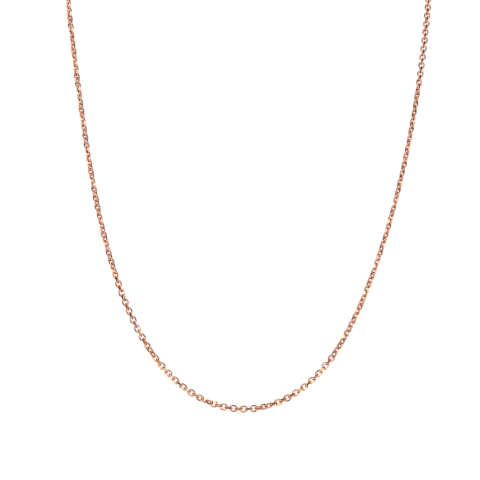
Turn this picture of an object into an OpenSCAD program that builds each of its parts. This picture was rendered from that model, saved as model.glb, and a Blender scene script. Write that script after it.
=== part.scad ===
// Chain necklace in rose gold: a diamond-cut cable chain with a spring-ring clasp and an end tag.
// It lies open on a table: z = 0 is the table, +X is right and +Y runs up to the clasp.
// The chain is drawn in sections of links, so that each section can turn against its neighbour.

/* [Chain] */
// Distance from the middle of one link to the middle of the next, mm
link_pitch = 1.40; // [1.34:0.01:1.50]
// Thickness of the link wire, mm
wire_d = 0.44; // [0.40:0.01:0.47]
// Outside width of a link before cutting, mm
link_w = 1.89; // [1.85:0.01:2.10]
// Play between two hooked links, mm
link_play = 0.04; // [0.03:0.005:0.08]
// Depth of the flats cut along each link, mm
facet_cut = 0.068; // [0.03:0.001:0.12]
// Links in one section, an odd number
section_links = 7; // [5:2:9]

/* [Jump ring] */
// Thickness of the jump ring's wire, mm
jump_wire_d = 0.44; // [0.40:0.02:0.46]
// Radius of the jump ring at the middle of its wire, mm
jump_r = 1.15; // [1.0:0.05:1.6]

/* [Clasp] */
// Radius of the clasp at the middle of its tube, mm
clasp_r = 2.3; // [2.2:0.05:2.8]
// Outside diameter of the clasp tube, mm
tube_d = 1.4; // [1.36:0.02:1.6]
// Inside diameter of the clasp tube, mm
tube_bore_d = 0.96; // [0.90:0.02:1.0]
// Gap between the sliding bolt and its tube, mm
bolt_gap = 0.06; // [0.03:0.01:0.08]
// Width of the mouth that the bolt closes, degrees around the ring
mouth_angle = 60; // [50:1:64]
// Thickness of the thumb knob's stem, mm
knob_d = 0.40; // [0.36:0.02:0.46]
// How far the thumb knob stands above the tube, mm
knob_rise = 0.6; // [0.4:0.05:0.7]
// Wire thickness of the clasp's eye, mm
eye_wire_d = 0.40; // [0.36:0.02:0.44]
// Turns of the spring inside the tube
spring_turns = 14; // [10:1:18]

/* [End tag] */
// Thickness of the tag, mm
tag_t = 0.5; // [0.4:0.05:0.5]
// Radius of the hole that the clasp closes through, mm
tag_hole_r = 1.25; // [1.0:0.05:1.4]
// Width of metal around that hole, mm
tag_rim = 0.75; // [0.6:0.05:1.0]
// Radius of the small hole for the last link, mm
tag_eye_r = 0.6; // [0.58:0.01:0.7]
// Distance between the two holes, mm
tag_holes = 2.9; // [2.8:0.1:4.0]

/* [Hidden] */
$fn = 40;
rose_gold = "#c88f72";
steel = "#b9b9b6";

// A link is a stadium of round wire
bend_r = (link_w - wire_d) / 2;
inner_l = link_pitch + link_play;
end_x = inner_l / 2 - (bend_r - wire_d / 2);
bar_x = end_x + bend_r;
facet_half = bend_r * sqrt(0.5) + wire_d / 2 - facet_cut;

// How the chain lies: [distance from the front, direction in degrees] along each side.
// The distances belong to a side of lay_half and are stretched to the real one.
lay_half = 220.5;
clasp_lay = [
    [0, 0], [10, 22.3], [20, 40.8], [30, 54], [40, 61.9], [50, 66.5], [60, 69.4], [80, 73.8],
    [100, 77.2], [120, 79.8], [142, 82.5], [152, 93], [165, 109], [180, 130], [195, 150],
    [210, 168], [220.5, 178]
];
tag_lay = [
    [0, 0], [10, 22.5], [20, 40.6], [30, 53.4], [40, 61.9], [50, 68], [60, 71.8], [80, 77.3],
    [100, 79.7], [120, 80.5], [142, 82], [152, 92], [165, 108], [180, 129], [195, 149],
    [210, 168], [220.5, 178]
];
// How the links are turned about the chain: 0 lays every other link flat, 45 leans them all.
// Where they lie flat in front, the upright ones lean by slack.
slack = 11;
clasp_turn = [
    [0, slack], [3.2, slack], [9.9, 90 - slack], [27.3, 90 - slack], [31, 45], [114.7, 45],
    [118.5, 0], [220.5, 0]
];
tag_turn = [
    [0, slack], [7, slack], [13.7, 90 - slack], [28.8, 90 - slack], [35.5, slack],
    [54.8, slack], [58.6, 45], [145, 45], [149, 0], [220.5, 0]
];

sections = 22;
front_half = (section_links - 1) / 2;
half_links = front_half + sections * section_links;
half_length = (half_links + 0.5) * link_pitch;

function lay_at(table, steps) = lookup(steps * link_pitch / half_length * lay_half, table);
function base_turn(side, i) = lay_at(side > 0 ? clasp_turn : tag_turn, i);

// Half height of a link turned by the angle a, from its wire and from its cut facets
function half_height(a) = min(
    bend_r * abs(sin(a)) + wire_d / 2,
    facet_half * (abs(cos(a - 45)) + abs(sin(a - 45)))
);
function axis_z(side, i) = max(
    half_height(base_turn(side, i)),
    half_height(base_turn(side, i) + 90)
);
function step(side, i) =
    let (
        h = lay_at(side > 0 ? clasp_lay : tag_lay, i + 0.5),
        rise = axis_z(side, i + 1) - axis_z(side, i),
        flat = sqrt(link_pitch * link_pitch - rise * rise)
    )
    [side * flat * cos(h), flat * sin(h), rise];
function walk(side) = [
    for (i = 0, p = [0, 0, axis_z(side, 0)]; i <= half_links; p = p + step(side, i), i = i + 1) p
];
clasp_walk = walk(1);
tag_walk = walk(-1);

// Reaches from the last link of the clasp side, along the clasp's own line
clasp_end = clasp_walk[half_links];
clasp_step = clasp_end - clasp_walk[half_links - 1];
clasp_t = [clasp_step[0], clasp_step[1], 0] / norm([clasp_step[0], clasp_step[1]]);
tube_r = tube_d / 2;
eye_wire_r = eye_wire_d / 2;
eye_play = 0.08;
eye_r = jump_wire_d / 2 + eye_play + eye_wire_r;
clasp_rest = max(tube_r, eye_r + eye_wire_r);
eye_x = tube_bore_d / 2 + clasp_r + 0.02 + eye_wire_r + eye_r;
link_hook = bar_x - (wire_d + jump_wire_d) / 2 - link_play;
jump_drop = clasp_end[2] - clasp_rest;
jump_tilt = asin(jump_drop / (2 * jump_r));
eye_hook = link_hook + 2 * jump_r * cos(jump_tilt) - (eye_wire_d + jump_wire_d) / 2 - link_play;
clasp_x = eye_hook + eye_x + eye_r;

// The origin is on the table under the middle of the whole necklace
function walk_ends(axis) =
    let (at = [for (p = concat(clasp_walk, tag_walk)) p[axis]])
    [min(at), max(at)];
clasp_top = clasp_end[1] + clasp_t[1] * clasp_x + clasp_r + tube_r;
loop_middle = [
    (walk_ends(0)[0] + walk_ends(0)[1]) / 2,
    (walk_ends(1)[0] - link_w / 2 + max(clasp_top, walk_ends(1)[1] + link_w / 2)) / 2,
    0
];

// Link n counts from the front one: up along the clasp side, down along the tag side
function centre(n) = (n >= 0 ? clasp_walk[n] : tag_walk[-n]) - loop_middle;
function unit(v) = v / norm(v);
function along(n) = unit(
    centre(min(n + 1, half_links)) - centre(max(n - 1, -half_links))
);
function across(t) = unit(cross([0, 0, 1], t));
function turn(n) = base_turn(n >= 0 ? 1 : -1, abs(n)) + 90 * (abs(n) % 2);

// Moves its children to a point with local X along t, and local Z as near up as it goes
module place(p, t) {
    y = across(t);
    z = cross(t, y);
    multmatrix([
        [t[0], y[0], z[0], p[0]],
        [t[1], y[1], z[1], p[1]],
        [t[2], y[2], z[2], p[2]],
        [0, 0, 0, 1]
    ]) children();
}

module wire_arc(r, d, from, angle) {
    rotate([0, 0, from]) rotate_extrude(angle = angle) translate([r, 0]) circle(d = d);
}

module link() {
    intersection() {
        union() {
            for (s = [-1, 1]) {
                translate([s * end_x, 0, 0]) wire_arc(bend_r, wire_d, -90 * s, 180);
                translate([0, s * bend_r, 0]) rotate([0, 90, 0])
                    cylinder(d = wire_d, h = 2 * end_x, center = true);
            }
        }
        rotate([45, 0, 0]) cube([4 * link_pitch, 2 * facet_half, 2 * facet_half], center = true);
    }
}

module links(from, to) {
    for (n = [from:to])
        place(centre(n), along(n)) rotate([turn(n), 0, 0]) link();
}

// Section k of one side: +1 is the clasp side, -1 the tag side
module side_section(side, k) {
    first = front_half + 1 + (k - 1) * section_links;
    last = first + section_links - 1;
    if (side > 0) links(first, last);
    else links(-last, -first);
}

// The clasp end: local X leads from the last link to the mouth
clasp_centre = centre(half_links) + clasp_t * clasp_x - [0, 0, jump_drop];

mouth_from = 5;
mouth_to = mouth_from + mouth_angle;
bolt_from = mouth_from - 10;
bolt_travel = mouth_to - bolt_from;
bolt_to = mouth_to + 65;
knob_at = mouth_to + 13;
slot_margin = 5;
tube_end = 330;
bolt_d = tube_bore_d - 2 * bolt_gap;
knob_seat = clasp_r - 0.2;

module jump_ring() {
    color(rose_gold)
        place(centre(half_links) + clasp_t * link_hook, clasp_t) rotate([0, jump_tilt, 0])
            translate([jump_r, 0, 0]) wire_arc(jump_r, jump_wire_d, 0, 360);
}

module clasp_ring() {
    color(rose_gold) place(clasp_centre, clasp_t) {
        difference() {
            wire_arc(clasp_r, tube_d, mouth_to, 360 - mouth_angle);
            wire_arc(clasp_r, tube_bore_d, mouth_to - 1, tube_end - mouth_to + 1);
            wire_arc(clasp_r, tube_bore_d, bolt_from - 1, mouth_from - bolt_from + 2);
            rotate([0, 0, knob_at - slot_margin])
                rotate_extrude(angle = bolt_travel + 2 * slot_margin)
                    translate([clasp_r, -knob_d / 2 - bolt_gap])
                        square([tube_d, knob_d + 2 * bolt_gap]);
        }
        difference() {
            translate([-eye_x, 0, 0]) rotate([90, 0, 0]) wire_arc(eye_r, eye_wire_d, 0, 360);
            rotate_extrude() translate([clasp_r, 0]) circle(d = tube_bore_d);
        }
    }
}

module clasp_bolt() {
    color(rose_gold) place(clasp_centre, clasp_t) difference() {
        wire_arc(clasp_r, bolt_d, bolt_from, bolt_to - bolt_from);
        rotate([0, 0, knob_at]) translate([knob_seat, 0, 0]) rotate([0, 90, 0])
            cylinder(d = knob_d, h = tube_d);
    }
}

module clasp_knob() {
    color(rose_gold) place(clasp_centre, clasp_t)
        rotate([0, 0, knob_at]) translate([knob_seat, 0, 0]) rotate([0, 90, 0])
            cylinder(d = knob_d, h = clasp_r + tube_r + knob_rise - knob_seat);
}

// The spring winds about the tube's middle line, from the bolt's tail to the tube's end
spring_wire_r = 0.06;
spring_coil_r = tube_bore_d / 2 - spring_wire_r - 0.04;
spring_from = bolt_to + 3;
spring_to = tube_end - 3;
spring_steps = 12;
spring_sides = 5;

function spring_point(u) =
    let (
        a = spring_from + (spring_to - spring_from) * u,
        w = 360 * spring_turns * u,
        r = clasp_r + spring_coil_r * cos(w)
    )
    [r * cos(a), r * sin(a), spring_coil_r * sin(w)];

module clasp_spring() {
    n = spring_turns * spring_steps;
    rings = [
        for (i = [0:n])
            let (
                p = spring_point(i / n),
                t = unit(spring_point(i / n + 0.001) - spring_point(i / n - 0.001)),
                a = spring_from + (spring_to - spring_from) * i / n,
                x = unit(cross(t, [-sin(a), cos(a), 0])),
                y = cross(t, x)
            )
            for (j = [0:spring_sides - 1])
                p + spring_wire_r * (x * cos(360 * j / spring_sides) + y * sin(360 * j / spring_sides))
    ];
    sides = [
        for (i = [0:n - 1], j = [0:spring_sides - 1])
            let (k = (j + 1) % spring_sides, s = spring_sides)
            each [
                [i * s + j, i * s + k, (i + 1) * s + k],
                [i * s + j, (i + 1) * s + k, (i + 1) * s + j]
            ]
    ];
    ends = [
        [for (j = [spring_sides - 1:-1:0]) j],
        [for (j = [0:spring_sides - 1]) n * spring_sides + j]
    ];
    color(steel) place(clasp_centre, clasp_t)
        polyhedron(points = rings, faces = concat(sides, ends));
}

// The tag hangs on the last link of its side and leans down until its far edge meets the table
tag_t_dir = -unit([along(-half_links)[0], along(-half_links)[1], 0]);
tag_edge = 0.5;
tag_play = 0.15;
tag_hook = bar_x - wire_d / 2 - tag_play - tag_edge / 2;
tag_eye_x = tag_edge / 2 + tag_eye_r;
tag_hole_x = tag_eye_x + tag_holes;
tag_r = tag_hole_r + tag_rim;
tag_lean = asin((centre(-half_links)[2] - tag_t / 2) / (tag_hole_x + tag_r));
tag_pin = centre(-half_links) + tag_t_dir * tag_hook;

module end_tag() {
    color(rose_gold) place(tag_pin, tag_t_dir) rotate([0, tag_lean, 0])
        translate([0, 0, -tag_t / 2]) linear_extrude(tag_t) difference() {
            union() {
                translate([tag_eye_x, 0]) circle(r = tag_eye_r + tag_edge);
                translate([tag_hole_x, 0]) circle(r = tag_r);
                polygon([
                    [tag_eye_x, -tag_eye_r - tag_edge / 2], [tag_hole_x, -tag_r * 0.92],
                    [tag_hole_x, tag_r * 0.92], [tag_eye_x, tag_eye_r + tag_edge / 2]
                ]);
            }
            translate([tag_eye_x, 0]) circle(r = tag_eye_r);
            translate([tag_hole_x, 0]) circle(r = tag_hole_r);
        }
}

module front_section() { color(rose_gold) links(-front_half, front_half); }
module clasp_side_01() { color(rose_gold) side_section(1, 1); }
module clasp_side_02() { color(rose_gold) side_section(1, 2); }
module clasp_side_03() { color(rose_gold) side_section(1, 3); }
module clasp_side_04() { color(rose_gold) side_section(1, 4); }
module clasp_side_05() { color(rose_gold) side_section(1, 5); }
module clasp_side_06() { color(rose_gold) side_section(1, 6); }
module clasp_side_07() { color(rose_gold) side_section(1, 7); }
module clasp_side_08() { color(rose_gold) side_section(1, 8); }
module clasp_side_09() { color(rose_gold) side_section(1, 9); }
module clasp_side_10() { color(rose_gold) side_section(1, 10); }
module clasp_side_11() { color(rose_gold) side_section(1, 11); }
module clasp_side_12() { color(rose_gold) side_section(1, 12); }
module clasp_side_13() { color(rose_gold) side_section(1, 13); }
module clasp_side_14() { color(rose_gold) side_section(1, 14); }
module clasp_side_15() { color(rose_gold) side_section(1, 15); }
module clasp_side_16() { color(rose_gold) side_section(1, 16); }
module clasp_side_17() { color(rose_gold) side_section(1, 17); }
module clasp_side_18() { color(rose_gold) side_section(1, 18); }
module clasp_side_19() { color(rose_gold) side_section(1, 19); }
module clasp_side_20() { color(rose_gold) side_section(1, 20); }
module clasp_side_21() { color(rose_gold) side_section(1, 21); }
module clasp_side_22() { color(rose_gold) side_section(1, 22); }
module tag_side_01() { color(rose_gold) side_section(-1, 1); }
module tag_side_02() { color(rose_gold) side_section(-1, 2); }
module tag_side_03() { color(rose_gold) side_section(-1, 3); }
module tag_side_04() { color(rose_gold) side_section(-1, 4); }
module tag_side_05() { color(rose_gold) side_section(-1, 5); }
module tag_side_06() { color(rose_gold) side_section(-1, 6); }
module tag_side_07() { color(rose_gold) side_section(-1, 7); }
module tag_side_08() { color(rose_gold) side_section(-1, 8); }
module tag_side_09() { color(rose_gold) side_section(-1, 9); }
module tag_side_10() { color(rose_gold) side_section(-1, 10); }
module tag_side_11() { color(rose_gold) side_section(-1, 11); }
module tag_side_12() { color(rose_gold) side_section(-1, 12); }
module tag_side_13() { color(rose_gold) side_section(-1, 13); }
module tag_side_14() { color(rose_gold) side_section(-1, 14); }
module tag_side_15() { color(rose_gold) side_section(-1, 15); }
module tag_side_16() { color(rose_gold) side_section(-1, 16); }
module tag_side_17() { color(rose_gold) side_section(-1, 17); }
module tag_side_18() { color(rose_gold) side_section(-1, 18); }
module tag_side_19() { color(rose_gold) side_section(-1, 19); }
module tag_side_20() { color(rose_gold) side_section(-1, 20); }
module tag_side_21() { color(rose_gold) side_section(-1, 21); }
module tag_side_22() { color(rose_gold) side_section(-1, 22); }

front_section();
clasp_side_01();
clasp_side_02();
clasp_side_03();
clasp_side_04();
clasp_side_05();
clasp_side_06();
clasp_side_07();
clasp_side_08();
clasp_side_09();
clasp_side_10();
clasp_side_11();
clasp_side_12();
clasp_side_13();
clasp_side_14();
clasp_side_15();
clasp_side_16();
clasp_side_17();
clasp_side_18();
clasp_side_19();
clasp_side_20();
clasp_side_21();
clasp_side_22();
tag_side_01();
tag_side_02();
tag_side_03();
tag_side_04();
tag_side_05();
tag_side_06();
tag_side_07();
tag_side_08();
tag_side_09();
tag_side_10();
tag_side_11();
tag_side_12();
tag_side_13();
tag_side_14();
tag_side_15();
tag_side_16();
tag_side_17();
tag_side_18();
tag_side_19();
tag_side_20();
tag_side_21();
tag_side_22();
jump_ring();
clasp_ring();
clasp_bolt();
clasp_knob();
clasp_spring();
end_tag();
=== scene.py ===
# Rose-gold cable chain necklace, laid open on a white table and looked down on.
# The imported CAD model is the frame: every piece rides on one of its bodies.
import math

import bmesh
import bpy
import numpy as np
from mathutils import Matrix, Vector


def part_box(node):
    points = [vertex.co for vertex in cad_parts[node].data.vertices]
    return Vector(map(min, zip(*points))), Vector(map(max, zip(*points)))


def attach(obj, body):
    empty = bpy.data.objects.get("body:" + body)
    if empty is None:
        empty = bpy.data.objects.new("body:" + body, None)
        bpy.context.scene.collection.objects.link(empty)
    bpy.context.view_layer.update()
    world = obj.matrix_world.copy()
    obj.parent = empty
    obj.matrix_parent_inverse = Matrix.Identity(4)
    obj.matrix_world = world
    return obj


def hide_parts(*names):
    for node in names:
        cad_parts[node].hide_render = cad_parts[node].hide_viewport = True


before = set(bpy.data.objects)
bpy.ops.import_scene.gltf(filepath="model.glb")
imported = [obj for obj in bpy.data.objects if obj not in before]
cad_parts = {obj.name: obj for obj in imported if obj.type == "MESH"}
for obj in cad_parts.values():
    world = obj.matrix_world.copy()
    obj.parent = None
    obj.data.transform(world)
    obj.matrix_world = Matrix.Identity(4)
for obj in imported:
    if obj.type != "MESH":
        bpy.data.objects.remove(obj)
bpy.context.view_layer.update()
MM = 0.001


# ---------------------------------------------------------------- camera
# A studio camera on a copy stand, tipped a little towards the clasp, so that the
# front of the necklace is nearest and both sides run out of the top of the view.
front_low, front_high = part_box("front_section")
front_middle = (front_low + front_high) / 2
CAMERA_TIP = math.radians(12.5)
CAMERA_REACH = 227.3 * MM
CAMERA_FIELD = math.radians(34.0)
aim = front_middle + Vector((-1.03, 47.77, 0)) * MM
lens = bpy.data.cameras.new("camera")
lens.sensor_fit = "HORIZONTAL"
lens.angle = CAMERA_FIELD
lens.clip_start = 0.01
lens.clip_end = 10
camera = bpy.data.objects.new("camera", lens)
camera.rotation_euler = (CAMERA_TIP, 0, 0)
camera.location = aim + CAMERA_REACH * Vector((0, -math.sin(CAMERA_TIP), math.cos(CAMERA_TIP)))
bpy.context.scene.collection.objects.link(camera)
bpy.context.scene.camera = camera


# ---------------------------------------------------------------- rose gold
# Copper-red gold plate over a brass core, barrel-polished, then faced with a diamond
# tool. Polishing leaves fine hairlines and a slightly uneven colour.
class Shade:
    """One output socket of a shader node, with sums written as sums."""

    def __init__(self, tree, socket):
        self.tree, self.socket = tree, socket

    def node(self, kind, values=(), out=0, **settings):
        made = self.tree.nodes.new(kind)
        for key, value in settings.items():
            if key == "stops":
                ramp = made.color_ramp
                while len(ramp.elements) < len(value):
                    ramp.elements.new(0.5)
                for stop, (at, colour) in zip(ramp.elements, value):
                    stop.position, stop.color = at, colour
            else:
                setattr(made, key, value)
        for name, value in dict(values).items():
            socket = made.inputs[name]
            if isinstance(value, Shade):
                self.tree.links.new(value.socket, socket)
            else:
                socket.default_value = value
        return Shade(self.tree, made.outputs[out])

    def sum(self, operation, a, b):
        return self.node("ShaderNodeMath", {0: a, 1: b}, operation=operation)

    def __add__(self, other):
        return self.sum("ADD", self, other)

    def __sub__(self, other):
        return self.sum("SUBTRACT", self, other)

    def __rsub__(self, other):
        return self.sum("SUBTRACT", other, self)

    def __mul__(self, other):
        return self.sum("MULTIPLY", self, other)

    def mixed(self, a, b):
        return self.node(
            "ShaderNodeMix", {"Factor": self, 6: a, 7: b}, out=2, data_type="RGBA"
        )

    __radd__ = __add__
    __rmul__ = __mul__


def new_material(name):
    made = bpy.data.materials.new(name)
    made.use_nodes = True
    shader = made.node_tree.nodes["Principled BSDF"]
    place = made.node_tree.nodes.new("ShaderNodeTexCoord")
    return made, shader, Shade(made.node_tree, place.outputs["Object"])


def feed(shader, name, shade):
    shade.tree.links.new(shade.socket, shader.inputs[name])


DRIFT_SCALE = 420.0
CLOUD_SCALE = 2600.0
HAIRLINE_SCALE = 9000.0


def polished_gold(name, light, deep, roughness, hairlines):
    """Rose gold whose colour drifts from light to deep, with hairlines of that depth in mm."""
    made, shader, at = new_material(name)
    drift = at.node("ShaderNodeTexNoise", {"Vector": at, "Scale": DRIFT_SCALE, "Detail": 2.0})
    cloud = at.node("ShaderNodeTexNoise", {"Vector": at, "Scale": CLOUD_SCALE, "Detail": 3.0})
    long_way = at.node(
        "ShaderNodeMapping", {"Vector": at, "Scale": (1.0, 6.0, 1.0), "Rotation": (0, 0, 0.6)}
    )
    lines = at.node(
        "ShaderNodeTexNoise", {"Vector": long_way, "Scale": HAIRLINE_SCALE, "Detail": 2.0}
    )
    feed(shader, "Base Color", (drift * 0.7 + cloud * 0.3).mixed((*deep, 1), (*light, 1)))
    feed(shader, "Roughness", cloud * 0.10 + (roughness - 0.05))
    shader.inputs["Metallic"].default_value = 1.0
    bump = at.node(
        "ShaderNodeBump", {"Height": lines, "Distance": hairlines * MM, "Strength": 0.5}
    )
    feed(shader, "Normal", bump)
    return made


LINK_LIGHT = (0.95, 0.60, 0.42)
LINK_DEEP = (0.88, 0.47, 0.29)
link_gold = polished_gold("link_gold", LINK_LIGHT, LINK_DEEP, 0.10, 0.002)


# ---------------------------------------------------------------- chain links
# Each link is a long ring of round wire, soldered shut, with four flats cut along it by
# a diamond tool. Every link hooks through the next and stands nearly square to it.
WIRE = 0.44 * MM
LINK_WIDTH = 1.89 * MM
LINK_PITCH = 1.40 * MM
LINK_PLAY = 0.04 * MM
FACET_CUT = 0.068 * MM
BEND = (LINK_WIDTH - WIRE) / 2
FACET_HALF = BEND * math.sqrt(0.5) + WIRE / 2 - FACET_CUT
STRAIGHT_HALF = (LINK_PITCH + LINK_PLAY) / 2 - (BEND - WIRE / 2)
BEND_STEPS = 12
WIRE_STEPS = 8
LOOSE_TILT = math.radians(9)
TILT_SEED = 7
FLAT_MARGIN = 0.006 * MM
MERGE_REACH = 0.0005 * MM


def geometry_tree(name, inputs):
    """A node group with a Geometry input, the named inputs, and a Geometry output."""
    tree = bpy.data.node_groups.new(name, "GeometryNodeTree")
    tree.interface.new_socket("Geometry", in_out="INPUT", socket_type="NodeSocketGeometry")
    sockets = {}
    for label, kind in inputs:
        sockets[label] = tree.interface.new_socket(
            label, in_out="INPUT", socket_type="NodeSocket" + kind
        ).identifier
    tree.interface.new_socket("Geometry", in_out="OUTPUT", socket_type="NodeSocketGeometry")
    return tree, sockets


def node(tree, kind, values=(), out=0, **settings):
    """Adds a node with its settings and inputs, and returns one of its outputs."""
    made = tree.nodes.new(kind)
    for key, value in settings.items():
        setattr(made, key, value)
    for name, value in dict(values).items():
        if isinstance(value, bpy.types.NodeSocket):
            tree.links.new(value, made.inputs[name])
        else:
            made.inputs[name].default_value = value
    return made.outputs[out]


def maths(tree, operation, *values):
    return node(tree, "ShaderNodeMath", dict(enumerate(values)), operation=operation)


def link_tree():
    tree, sockets = geometry_tree(
        "lay_links",
        [
            ("Wire", "Float"), ("Bend", "Float"), ("Straight half", "Float"),
            ("Facet half", "Float"), ("Tilt", "Float"), ("Gold", "Material"),
        ],
    )
    given = tree.nodes.new("NodeGroupInput").outputs

    # the oval: a ring whose two halves are drawn apart by the straight stretch
    corner = math.cos(math.pi / BEND_STEPS)
    ring = node(
        tree, "GeometryNodeCurvePrimitiveCircle",
        {"Resolution": BEND_STEPS, "Radius": maths(tree, "DIVIDE", given["Bend"], corner)},
    )
    turned = node(
        tree, "GeometryNodeTransform",
        {"Geometry": ring, "Rotation": (0, 0, math.pi / BEND_STEPS)},
    )
    place = node(tree, "GeometryNodeInputPosition")
    split = node(tree, "ShaderNodeSeparateXYZ", {0: place}).node.outputs
    apart = maths(tree, "MULTIPLY", maths(tree, "SIGN", split["X"]), given["Straight half"])
    oval = node(
        tree, "GeometryNodeSetPosition",
        {"Geometry": turned, "Offset": node(tree, "ShaderNodeCombineXYZ", {"X": apart})},
    )
    upright = node(tree, "GeometryNodeSetCurveNormal", {"Curve": oval}, mode="Z_UP")
    round_wire = node(
        tree, "GeometryNodeCurvePrimitiveCircle",
        {"Resolution": WIRE_STEPS, "Radius": maths(tree, "DIVIDE", given["Wire"], 2.0)},
    )
    wire = node(
        tree, "GeometryNodeCurveToMesh", {"Curve": upright, "Profile Curve": round_wire}
    )

    # the cut: what stands out past a cutting plane is pressed back onto it
    past = maths(
        tree, "SUBTRACT",
        maths(
            tree, "MULTIPLY",
            maths(
                tree, "ADD",
                maths(tree, "ABSOLUTE", split["Y"]), maths(tree, "ABSOLUTE", split["Z"]),
            ),
            math.sqrt(0.5),
        ),
        given["Facet half"],
    )
    back = maths(tree, "MULTIPLY", maths(tree, "MAXIMUM", past, 0.0), -math.sqrt(0.5))
    cut = node(
        tree, "GeometryNodeSetPosition",
        {
            "Geometry": wire,
            "Offset": node(
                tree, "ShaderNodeCombineXYZ",
                {
                    "Y": maths(tree, "MULTIPLY", back, maths(tree, "SIGN", split["Y"])),
                    "Z": maths(tree, "MULTIPLY", back, maths(tree, "SIGN", split["Z"])),
                },
            ),
        },
    )
    smooth = node(tree, "GeometryNodeSetShadeSmooth", {"Geometry": cut, "Shade Smooth": True})
    facet = maths(tree, "GREATER_THAN", past, -FLAT_MARGIN)
    faced = node(
        tree, "GeometryNodeSetShadeSmooth",
        {"Geometry": smooth, "Selection": facet, "Shade Smooth": False},
    )

    # one link at every place, hanging a little loose in its neighbours
    turn = node(
        tree, "GeometryNodeInputNamedAttribute", {"Name": "turn"}, data_type="FLOAT_VECTOR"
    )
    spread = node(tree, "ShaderNodeCombineXYZ", {
        "X": given["Tilt"],
        "Y": maths(tree, "MULTIPLY", given["Tilt"], 0.5),
        "Z": maths(tree, "MULTIPLY", given["Tilt"], 0.5),
    })
    other_way = node(
        tree, "ShaderNodeVectorMath", {0: spread, "Scale": -1.0}, operation="SCALE"
    )
    loose = node(
        tree, "FunctionNodeRandomValue",
        {"Min": other_way, "Max": spread, "Seed": TILT_SEED}, data_type="FLOAT_VECTOR",
    )
    rotation = node(
        tree, "FunctionNodeRotateRotation",
        {
            "Rotation": node(tree, "FunctionNodeEulerToRotation", {0: turn}),
            "Rotate By": node(tree, "FunctionNodeEulerToRotation", {0: loose}),
        },
        rotation_space="LOCAL",
    )
    links = node(
        tree, "GeometryNodeInstanceOnPoints",
        {"Points": given["Geometry"], "Instance": faced, "Rotation": rotation},
    )
    real = node(tree, "GeometryNodeRealizeInstances", {"Geometry": links})
    gilt = node(
        tree, "GeometryNodeSetMaterial", {"Geometry": real, "Material": given["Gold"]}
    )
    tree.links.new(gilt, tree.nodes.new("NodeGroupOutput").inputs["Geometry"])
    return tree, sockets


def link_places(cad_node):
    """The middle of each link of a CAD section, and its turn as Euler angles."""
    shape = bmesh.new()
    shape.from_mesh(cad_node.data)
    bmesh.ops.remove_doubles(shape, verts=shape.verts, dist=MERGE_REACH)
    shape.faces.ensure_lookup_table()
    unseen, places = set(shape.faces), []
    while unseen:
        rim = [unseen.pop()]
        island = list(rim)
        while rim:
            near = {f for e in rim.pop().edges for f in e.link_faces} & unseen
            unseen -= near
            rim += near
            island += near
        area = np.array([f.calc_area() for f in island])
        middles = np.array([f.calc_center_median() for f in island])
        centre = area @ middles / area.sum()
        spread = (middles - centre) * np.sqrt(area)[:, None]
        thin, wide, long = np.linalg.eigh(spread.T @ spread)[1].T
        turn = Matrix(np.array([long, wide, np.cross(long, wide)]).T.tolist())
        places.append((Vector(centre), Vector(turn.to_euler("XYZ"))))
    shape.free()
    return sorted(places, key=lambda p: (round(p[0].y, 5), round(p[0].x, 5)))


def links_on(cad_node, tree, sockets, name):
    """A plain mesh of finished links, one on each of the section's CAD links."""
    places = link_places(cad_node)
    seeds = bpy.data.meshes.new(name + "_places")
    seeds.from_pydata([p for p, _ in places], [], [])
    turns = seeds.attributes.new("turn", "FLOAT_VECTOR", "POINT")
    turns.data.foreach_set("vector", [x for _, t in places for x in t])
    maker = bpy.data.objects.new(name + "_maker", seeds)
    bpy.context.scene.collection.objects.link(maker)
    laid = maker.modifiers.new("lay_links", "NODES")
    laid.node_group = tree
    for label, value in (
        ("Wire", WIRE), ("Bend", BEND), ("Straight half", STRAIGHT_HALF),
        ("Facet half", FACET_HALF), ("Tilt", LOOSE_TILT), ("Gold", link_gold),
    ):
        laid[sockets[label]] = value
    seen = maker.evaluated_get(bpy.context.evaluated_depsgraph_get())
    mesh = bpy.data.meshes.new_from_object(seen)
    mesh.name = name
    bpy.data.objects.remove(maker)
    piece = bpy.data.objects.new(name, mesh)
    bpy.context.scene.collection.objects.link(piece)
    return piece


tree, sockets = link_tree()
chain_nodes = [
    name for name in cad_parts
    if name == "front_section" or name.startswith(("clasp_side", "tag_side"))
]
for name in sorted(chain_nodes):
    piece = links_on(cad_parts[name], tree, sockets, "links_" + name)
    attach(piece, name)
    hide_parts(name)


# ---------------------------------------------------------------- clasp, jump ring and tag
# Turned from the same gold, but tumbled and not faceted: a hollow spring ring, its bolt
# and thumb knob, the jump ring that holds it on, and the tag at the other end.
CLASP_LIGHT = (0.92, 0.58, 0.44)
CLASP_DEEP = (0.85, 0.48, 0.33)
clasp_gold = polished_gold("clasp_gold", CLASP_LIGHT, CLASP_DEEP, 0.18, 0.004)
for name in ("jump_ring", "clasp_ring", "clasp_bolt", "clasp_knob", "end_tag"):
    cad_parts[name].data.materials.clear()
    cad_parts[name].data.materials.append(clasp_gold)


# ---------------------------------------------------------------- clasp spring
# Hard-drawn steel wire, coiled and pushed into the tube behind the bolt.
spring_steel, shader, at = new_material("spring_steel")
dull = at.node("ShaderNodeTexNoise", {"Vector": at, "Scale": 3000.0})
feed(shader, "Base Color", dull.mixed((0.36, 0.36, 0.35, 1), (0.55, 0.55, 0.54, 1)))
feed(shader, "Roughness", dull * 0.2 + 0.2)
shader.inputs["Metallic"].default_value = 1.0
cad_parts["clasp_spring"].data.materials.clear()
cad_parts["clasp_spring"].data.materials.append(spring_steel)


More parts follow.
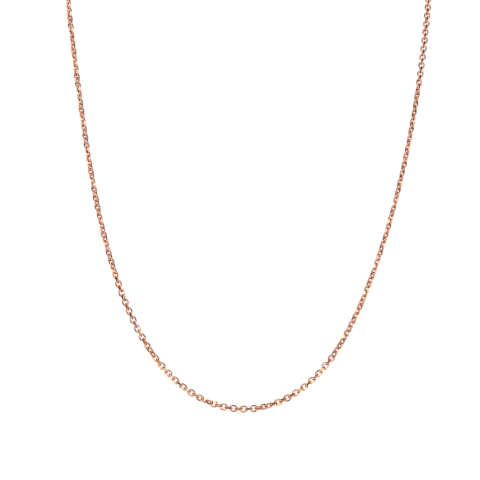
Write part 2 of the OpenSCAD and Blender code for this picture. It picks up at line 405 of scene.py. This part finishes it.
# ---------------------------------------------------------------- table
# A sheet of matt white paper that shows the camera an even white glow right up to the chain.
# Painted shade: inside the links an occlusion test swaps the glow for a dark emission. Painted
# reflection: to the metal the paper shows a flat brown emission, which it mirrors as brown.
TABLE_HALF = 1.2
TABLE_GLOW = 1.02
# painted reflection: the brown the paper shows to every ray but the camera's, in place of white
PAINTED_REFLECTION_BROWN = (0.28, 0.115, 0.060, 1)
# painted shade: the dark colour painted on the paper inside the links
PAINTED_GAP_SHADE = (0.14, 0.040, 0.016, 1)
GAP_REACH = 1.2 * MM
GAP_SHUT, GAP_OPEN = 0.17, 0.40
table_mesh = bpy.data.meshes.new("table")
table_mesh.from_pydata(
    [(x * TABLE_HALF, y * TABLE_HALF, 0) for x, y in ((-1, -1), (1, -1), (1, 1), (-1, 1))],
    [], [(0, 1, 2, 3)],
)
table = bpy.data.objects.new("table", table_mesh)
bpy.context.scene.collection.objects.link(table)
white = bpy.data.materials.new("white_table_painted_shade_and_reflection")
white.use_nodes = True
white.node_tree.nodes.clear()
seen_straight = Shade(white.node_tree, white.node_tree.nodes.new("ShaderNodeLightPath").outputs[0])
glow = seen_straight.node("ShaderNodeEmission", {"Color": (1, 1, 1, 1), "Strength": TABLE_GLOW})
# painted reflection: a brown emission seen only in the metal's mirror image of the paper
painted_reflection = seen_straight.node("ShaderNodeEmission", {"Color": PAINTED_REFLECTION_BROWN})
# painted shade: where the links hem the paper in, the glow gives way to the painted gap colour
shut_in = seen_straight.node(
    "ShaderNodeAmbientOcclusion", {"Distance": GAP_REACH}, out=1, samples=8
)
open_air = shut_in.node(
    "ShaderNodeMapRange", {"Value": shut_in, "From Min": GAP_SHUT, "From Max": GAP_OPEN},
    interpolation_type="SMOOTHSTEP",
)
shade = seen_straight.node("ShaderNodeEmission", {"Color": PAINTED_GAP_SHADE})
glow_or_painted_shade = seen_straight.node("ShaderNodeMixShader", {0: open_air, 1: shade, 2: glow})
# the camera sees the white glow with painted shade, and reflections see the painted brown
sheet_with_painted_light = seen_straight.node("ShaderNodeMixShader", {0: seen_straight, 1: painted_reflection, 2: glow_or_painted_shade})
top = white.node_tree.nodes.new("ShaderNodeOutputMaterial")
white.node_tree.links.new(sheet_with_painted_light.socket, top.inputs["Surface"])
table_mesh.materials.append(white)


# ---------------------------------------------------------------- light
# A jeweller's tent of soft white panels with dark warm gaps between them: the metal
# mirrors the panels as peach, and the gaps as brown. Past the paper's edge the backdrop
# is plain white.
WALL_FOOT, WALL_TOP = 0.02, 0.20
PANEL_SIZE = 2.6
PANEL_DARK, PANEL_WHITE = 0.43, 0.56
PANEL_SHARE = 0.65
BACKDROP = (1.0, 1.0, 1.0, 1)
TENT_TONES = [
    (0.00, (0.018, 0.005, 0.002, 1)),
    (0.45, (0.13, 0.038, 0.016, 1)),
    (0.75, (0.78, 0.53, 0.39, 1)),
    (1.00, (2.20, 2.04, 1.84, 1)),
]
world = bpy.data.worlds.new("tent")
world.use_nodes = True
sky = world.node_tree
way = Shade(sky, sky.nodes.new("ShaderNodeTexCoord").outputs["Generated"])
height = way.node("ShaderNodeSeparateXYZ", {0: way}, out=2)
wall = height.node(
    "ShaderNodeMapRange", {"Value": height, "From Min": WALL_FOOT, "From Max": WALL_TOP},
    interpolation_type="SMOOTHSTEP",
)
cloth = way.node("ShaderNodeTexNoise", {"Vector": way, "Scale": PANEL_SIZE, "Detail": 1.0})
panels = cloth.node(
    "ShaderNodeMapRange", {"Value": cloth, "From Min": PANEL_DARK, "From Max": PANEL_WHITE},
    interpolation_type="SMOOTHSTEP",
)
level = wall * (panels * PANEL_SHARE + (1 - PANEL_SHARE))
tone = level.node("ShaderNodeValToRGB", {"Fac": level}, stops=TENT_TONES)
seen_past_table = Shade(sky, sky.nodes.new("ShaderNodeLightPath").outputs["Is Camera Ray"])
backdrop = seen_past_table.mixed(tone, BACKDROP)
sky.links.new(backdrop.socket, sky.nodes["Background"].inputs["Color"])
bpy.context.scene.world = world
bpy.context.scene.view_settings.view_transform = "Standard"
bpy.context.scene.view_settings.look = "None"
